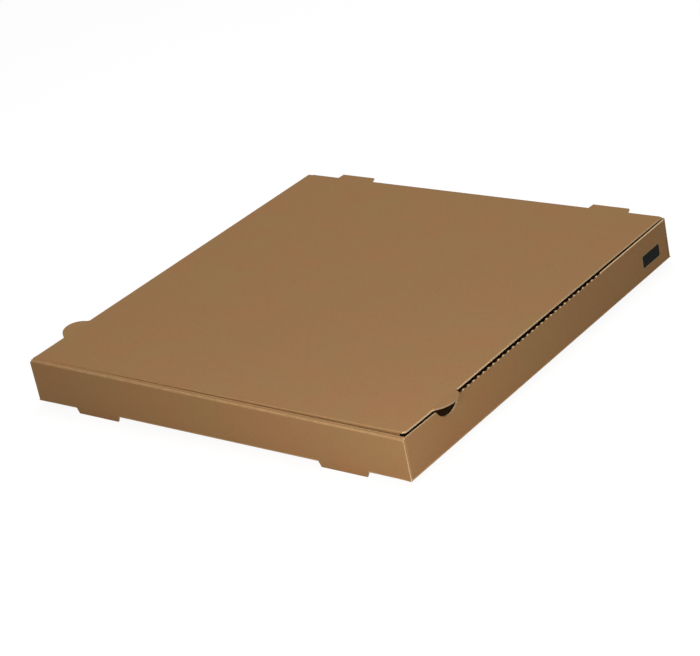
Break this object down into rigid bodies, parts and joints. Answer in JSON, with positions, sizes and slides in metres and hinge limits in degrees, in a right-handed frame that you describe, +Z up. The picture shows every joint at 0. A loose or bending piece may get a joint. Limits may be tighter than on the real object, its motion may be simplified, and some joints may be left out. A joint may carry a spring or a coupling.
{
  "type": "pizza box",
  "caption": "Square flat corrugated board box with a back-hinged lid, round side ears over thumb notches, and a rolled front wall.",
  "frame": {"origin": "midway between the sides, midway between the front wall and the tips of the rear tabs, at the height of the front tabs' tips, on which the box stands", "axes": "+X to the right of someone facing the front wall, +Y from the front wall to the hinge at the back, +Z up through the lid"},
  "size_m": [0.3456, 0.336, 0.0379],
  "materials": {
    "kraft_board": "matte"
  },
  "bodies": {
    "tray": {"tray": "kraft_board"},
    "lid": {"lid": "kraft_board"}
  },
  "joints": [
    {"name": "lid_hinge", "type": "hinge", "parent": "tray", "child": "lid", "pos_m": [0, 0.1617, 0.0361], "axis": [-1, 0, 0], "range_deg": [0, 180]}
  ]
}
